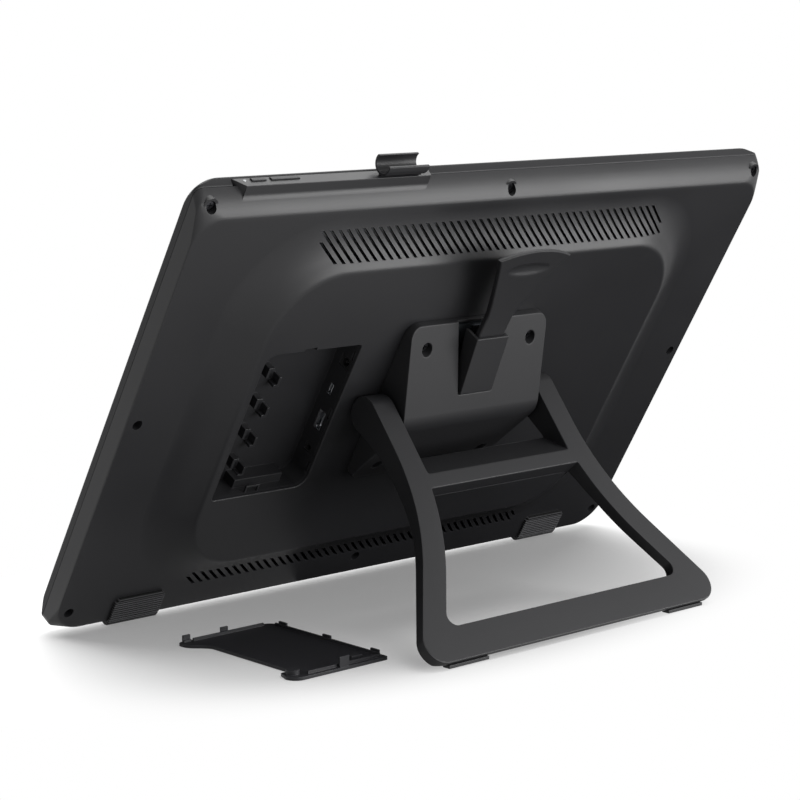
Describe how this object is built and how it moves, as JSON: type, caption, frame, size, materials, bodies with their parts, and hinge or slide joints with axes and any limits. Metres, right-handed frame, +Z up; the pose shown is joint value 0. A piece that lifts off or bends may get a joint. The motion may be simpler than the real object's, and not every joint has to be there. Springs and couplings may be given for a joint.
{
  "type": "pen display on a folding rear stand",
  "caption": "Pen display tablet on a folding A-frame stand with a friction hinge and release lever, seen with its rear port bay open and the port lid lying beside it.",
  "frame": {"origin": "on the table, under the middle of the part's box", "axes": "+Z up, +X to the left of someone who looks at the tablet's back, -Y the side that the screen faces"},
  "size_m": [0.535, 0.2582, 0.3265],
  "materials": {
    "shell_black": "fine moulded texture, charcoal black",
    "frame_black": "fine moulded texture, black",
    "lid_grey": "fine moulded texture, dark grey",
    "cover_grey": "satin moulded, dark grey",
    "stand_grey": "satin moulded, dark grey",
    "rubber_black": "ribbed, matt",
    "screen_glass": "etched anti-glare over a dark screen",
    "panel_dark": "gloss",
    "board_green": "solder mask",
    "chassis_aluminium": "pressed sheet",
    "screw_steel": "zinc plated",
    "screw_black": "black oxide",
    "port_steel": "nickel plated",
    "port_black": "moulded",
    "lamp_clear": "clear",
    "bracket_steel": "dark coat",
    "bush_cream": "acetal",
    "shaft_steel": "ground",
    "brake_brown": "friction lining"
  },
  "bodies": {
    "tablet": {"front_glass": "screen_glass", "front_frame": "frame_black", "lcd_panel": "panel_dark", "sensor_board": "board_green", "chassis_plate": "chassis_aluminium", "chassis_screws": "screw_steel", "main_board": "board_green", "board_screws": "screw_steel", "dc_jack": "port_black", "usb_port": "port_steel", "hdmi_port": "port_steel", "audio_jack": "port_black", "button_board": "board_green", "led_window": "lamp_clear", "rear_shell": "shell_black", "bay_tray": "shell_black", "case_screws": "screw_black", "pen_clip": "frame_black", "foot_pad_left": "rubber_black", "foot_pad_right": "rubber_black", "mount_bracket": "bracket_steel", "mount_cover": "cover_grey", "mount_screws": "screw_black", "hinge_bush_left": "bush_cream", "hinge_bush_right": "bush_cream", "lever_pin": "shaft_steel", "lever_spring": "shaft_steel"},
    "stand": {"leg_frame": "stand_grey", "hinge_shaft": "shaft_steel", "brake_drum": "shaft_steel", "stand_foot_left": "rubber_black", "stand_foot_right": "rubber_black"},
    "lever": {"release_lever": "stand_grey", "lever_cap": "cover_grey", "brake_pad": "brake_brown"},
    "power_key": {"power_button": "frame_black"},
    "menu_key": {"menu_button": "frame_black"},
    "lid": {"port_lid": "lid_grey"}
  },
  "joints": [
    {"name": "stand_tilt", "type": "hinge", "parent": "tablet", "child": "stand", "pos_m": [0, 0.00278, 0.14535], "axis": [1, 0, 0], "range_deg": [-52, 10]},
    {"name": "lever_press", "type": "hinge", "parent": "tablet", "child": "lever", "pos_m": [0, 0.00895, 0.16725], "axis": [1, 0, 0], "range_deg": [0, 5], "stiffness_Nm_per_rad": 8, "springref_deg": -5.73, "deforming": ["lever_spring"]},
    {"name": "power_press", "type": "slide", "parent": "tablet", "child": "power_key", "axis": [0, -0.5075, -0.8616], "range_m": [0, 0.0008], "stiffness_N_per_m": 1500, "springref_m": -0.0006},
    {"name": "menu_press", "type": "slide", "parent": "tablet", "child": "menu_key", "axis": [0, -0.5075, -0.8616], "range_m": [0, 0.0008], "stiffness_N_per_m": 1500, "springref_m": -0.0006},
    {"name": "lid_lift", "type": "slide", "parent": "tablet", "child": "lid", "axis": [0, 0, 1], "range_m": [0, 0.04]}
  ]
}
